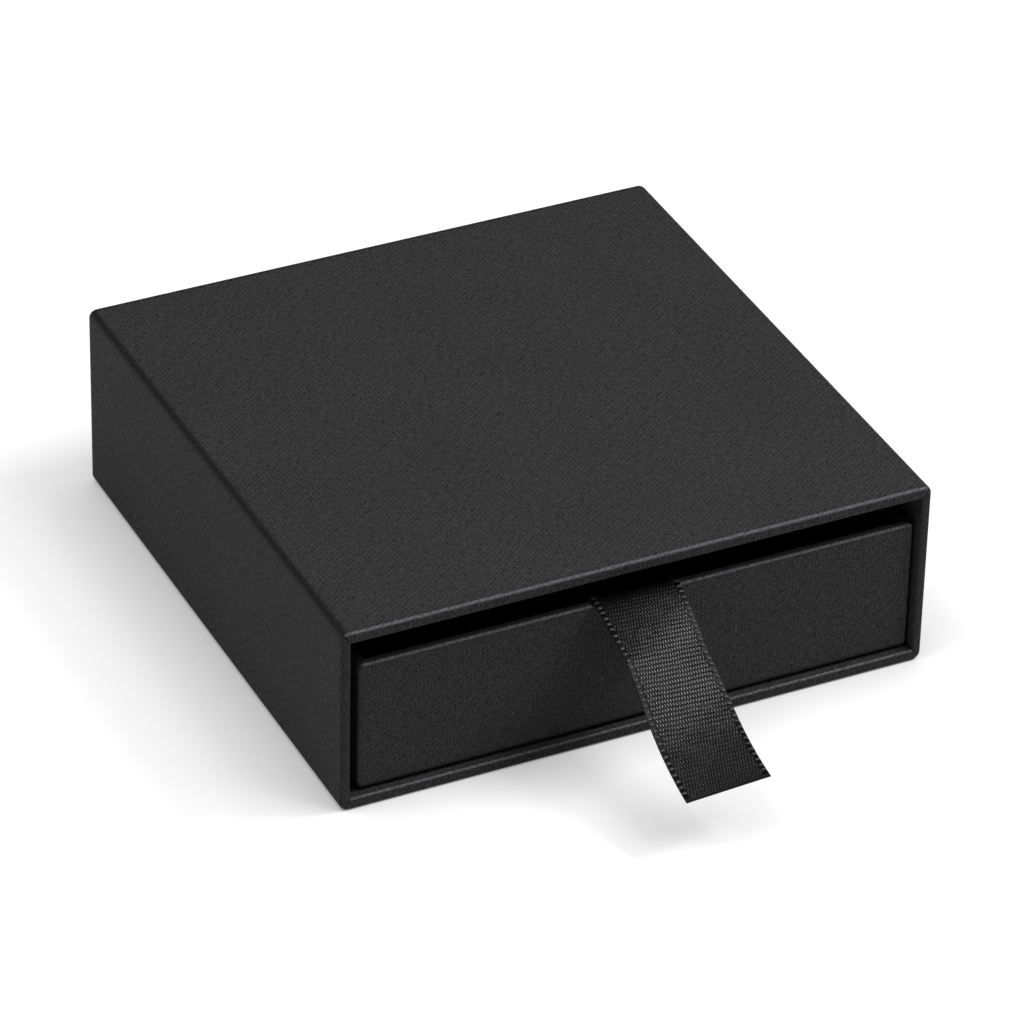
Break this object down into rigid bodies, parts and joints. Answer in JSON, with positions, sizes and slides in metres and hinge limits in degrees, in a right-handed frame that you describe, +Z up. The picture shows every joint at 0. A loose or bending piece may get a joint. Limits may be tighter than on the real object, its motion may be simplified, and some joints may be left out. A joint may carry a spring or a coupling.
{
  "type": "sliding drawer gift box",
  "caption": "Square paper-covered rigid board sleeve with a sliding drawer and a woven ribbon pull tab at the mouth.",
  "frame": {"origin": "centre of the sleeve's underside, on the surface that the box stands on", "axes": "+Z up, +Y from the mouth to the closed back, +X to the right of someone facing the mouth; the drawer slides out along -Y"},
  "size_m": [0.11, 0.1437, 0.036],
  "materials": {
    "cover_paper": "black linen-embossed cover paper, matte with a faint satin on the folds",
    "lining_paper": "plain uncoated black paper",
    "liner_card": "black card faced with plain paper",
    "greyboard": "uncoated recycled greyboard",
    "stay_tape": "gummed brown paper tape",
    "ribbon_weave": "ribbed woven polyester ribbon with looped edges and a heat-sealed end"
  },
  "bodies": {
    "sleeve": {"sleeve_top_board": "greyboard", "sleeve_base_board": "greyboard", "sleeve_left_board": "greyboard", "sleeve_right_board": "greyboard", "sleeve_back_board": "greyboard", "sleeve_stay_top_left": "stay_tape", "sleeve_stay_top_right": "stay_tape", "sleeve_stay_base_left": "stay_tape", "sleeve_stay_base_right": "stay_tape", "sleeve_stay_back_top": "stay_tape", "sleeve_stay_back_base": "stay_tape", "sleeve_stay_back_left": "stay_tape", "sleeve_stay_back_right": "stay_tape", "sleeve_wrap": "cover_paper", "sleeve_base_wrap": "cover_paper", "sleeve_lining": "lining_paper"},
    "drawer": {"drawer_base_board": "greyboard", "drawer_front_board": "greyboard", "drawer_back_board": "greyboard", "drawer_left_board": "greyboard", "drawer_right_board": "greyboard", "drawer_stay_front_left": "stay_tape", "drawer_stay_front_right": "stay_tape", "drawer_stay_back_left": "stay_tape", "drawer_stay_back_right": "stay_tape", "drawer_wrap": "cover_paper", "drawer_base_liner": "liner_card", "ribbon_glued_end": "ribbon_weave", "ribbon_patch": "cover_paper"},
    "ribbon_pull": {"ribbon_tail": "ribbon_weave"}
  },
  "joints": [
    {"name": "drawer_slide", "type": "slide", "parent": "sleeve", "child": "drawer", "axis": [0, -1, 0], "range_m": [0, 0.1]},
    {"name": "ribbon_bend", "type": "hinge", "parent": "drawer", "child": "ribbon_pull", "pos_m": [-0.0002, -0.05355, 0.02835], "axis": [-1, 0, 0], "range_deg": [-14, 85], "stiffness_Nm_per_rad": 0.00027, "springref_deg": 5.7}
  ]
}
